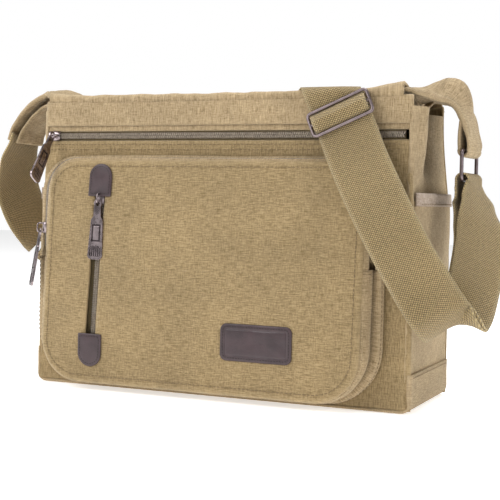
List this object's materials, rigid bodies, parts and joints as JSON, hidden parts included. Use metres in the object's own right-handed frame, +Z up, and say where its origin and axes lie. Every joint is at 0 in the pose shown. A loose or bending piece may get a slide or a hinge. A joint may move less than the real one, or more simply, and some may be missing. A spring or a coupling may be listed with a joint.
{
  "type": "messenger bag",
  "caption": "Boxy canvas messenger bag with zipped compartments, organiser pocket, leather trim and a wide webbing shoulder strap.",
  "frame": {"origin": "middle of the bag's flat base, on the surface that it stands on", "axes": "+Z up, the front with the organiser pocket faces -Y, +X to the right of somebody who looks at the front"},
  "size_m": [0.4789, 0.1686, 0.2629],
  "materials": {
    "canvas": "washed cotton canvas",
    "lining": "plain thin cloth",
    "tape": "woven zip tape",
    "chain": "moulded coil",
    "leather": "smooth waxed",
    "metal": "gunmetal plating",
    "webbing": "heavy woven cotton webbing",
    "board": "plain"
  },
  "bodies": {
    "bag": {"back_panel": "canvas", "base_board": "board", "bottom_panel": "canvas", "ear_left": "canvas", "ear_left_facing": "canvas", "ear_right": "canvas", "front_lining": "lining", "front_panel": "canvas", "front_upper_panel": "canvas", "front_zip_chain": "chain", "front_zip_tape_a": "tape", "front_zip_tape_b": "tape", "gusset_left": "canvas", "gusset_right": "canvas", "leather_end_lower": "leather", "leather_end_upper": "leather", "leather_label": "leather", "main_lining": "lining", "patch_zip_chain": "chain", "patch_zip_tape_a": "tape", "patch_zip_tape_b": "tape", "pocket_gusset": "canvas", "pocket_panel": "canvas", "pocket_zip_chain": "chain", "pocket_zip_tape_body": "tape", "pocket_zip_tape_panel": "tape", "side_pocket_left": "canvas", "side_pocket_right": "canvas", "strap_webbing": "webbing", "top_panel_back": "canvas", "top_panel_front": "canvas", "top_zip_chain": "chain", "top_zip_tape_a": "tape", "top_zip_tape_b": "tape"},
    "front_zip_slider": {"front_zip_slider": "metal"},
    "front_zip_pull": {"front_zip_pull": "metal"},
    "top_zip_slider": {"top_zip_slider": "metal"},
    "top_zip_pull": {"top_zip_pull": "metal"},
    "patch_zip_slider": {"patch_zip_slider": "metal"},
    "patch_zip_pull": {"patch_zip_pull": "metal"},
    "pocket_zip_slider": {"pocket_zip_slider": "metal"},
    "pocket_zip_pull": {"pocket_zip_pull": "metal"},
    "strap_ring": {"strap_ring": "metal"},
    "glide_frame": {"glide_frame": "metal"}
  },
  "joints": [
    {"name": "front_zip_slide", "type": "slide", "parent": "bag", "child": "front_zip_slider", "axis": [1, 0, 0], "range_m": [0, 0.22]},
    {"name": "front_zip_pull_swing", "type": "hinge", "parent": "front_zip_slider", "child": "front_zip_pull", "pos_m": [-0.1554, -0.0634, 0.2175], "axis": [-1, 0, 0], "range_deg": [0, 110]},
    {"name": "top_zip_slide", "type": "slide", "parent": "bag", "child": "top_zip_slider", "axis": [1, 0, 0], "range_m": [0, 0.12]},
    {"name": "top_zip_pull_swing", "type": "hinge", "parent": "top_zip_slider", "child": "top_zip_pull", "pos_m": [-0.1367, 0, 0.2468], "axis": [0, -1, 0], "range_deg": [0, 100]},
    {"name": "patch_zip_slide", "type": "slide", "parent": "bag", "child": "patch_zip_slider", "axis": [-0.0143, -0.069, -0.9975], "range_m": [0, 0.1]},
    {"name": "patch_zip_pull_swing", "type": "hinge", "parent": "patch_zip_slider", "child": "patch_zip_pull", "pos_m": [-0.10047, -0.07446, 0.16191], "axis": [-0.9999, 0.001, 0.0142], "range_deg": [0, 100]},
    {"name": "pocket_zip_slide", "type": "slide", "parent": "bag", "child": "pocket_zip_slider", "axis": [0, 0.0352, 0.9994], "range_m": [-0.015, 0.004]},
    {"name": "pocket_zip_pull_swing", "type": "hinge", "parent": "pocket_zip_slider", "child": "pocket_zip_pull", "pos_m": [-0.16229, -0.06854, 0.13583], "axis": [-0.6732, 0.739, -0.0261], "range_deg": [0, 80]},
    {"name": "strap_ring_swing", "type": "hinge", "parent": "bag", "child": "strap_ring", "pos_m": [0.199, 0, 0.2065], "axis": [0, 1, 0], "range_deg": [-4.5, 4.5]},
    {"name": "glide_tilt", "type": "hinge", "parent": "bag", "child": "glide_frame", "pos_m": [0.112, -0.06749, 0.2335], "axis": [0.9063, 0.0901, 0.4129], "range_deg": [-3, 0]}
  ]
}
